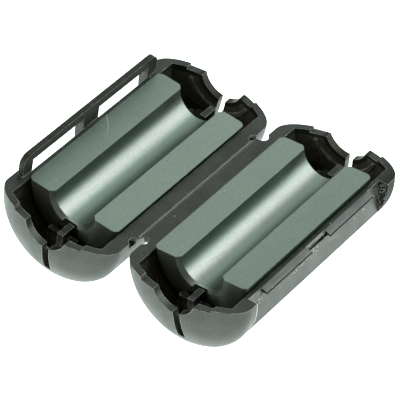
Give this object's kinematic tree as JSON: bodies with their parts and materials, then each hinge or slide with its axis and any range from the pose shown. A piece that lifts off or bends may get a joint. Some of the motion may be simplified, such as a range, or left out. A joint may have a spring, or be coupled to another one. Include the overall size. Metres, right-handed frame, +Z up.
{
  "type": "clip-on ferrite bead",
  "caption": "Clip-on ferrite bead lying open: a hinged plastic case whose halves each hold a half-round ferrite core and snap shut round a cable.",
  "frame": {"origin": "on the surface that the open bead rests on, midway between its halves and its ends", "axes": "+Y along the cable, +X towards the half with the catches, +Z up"},
  "size_m": [0.0404, 0.0406, 0.0149],
  "materials": {
    "case_plastic": "satin moulded nylon, black",
    "ferrite": "sintered ferrite, smooth satin, greenish grey"
  },
  "bodies": {
    "latch_half": {"latch_half_shell": "case_plastic", "latch_half_ferrite": "ferrite", "hinge_film": "case_plastic"},
    "catch_half": {"catch_half_shell": "case_plastic", "catch_half_ferrite": "ferrite"}
  },
  "joints": [
    {"name": "film_hinge", "type": "hinge", "parent": "latch_half", "child": "catch_half", "pos_m": [0.00008, 0, 0.0099], "axis": [0, 1, 0], "range_deg": [-170.24, 9.76], "deforming": ["hinge_film"]}
  ]
}
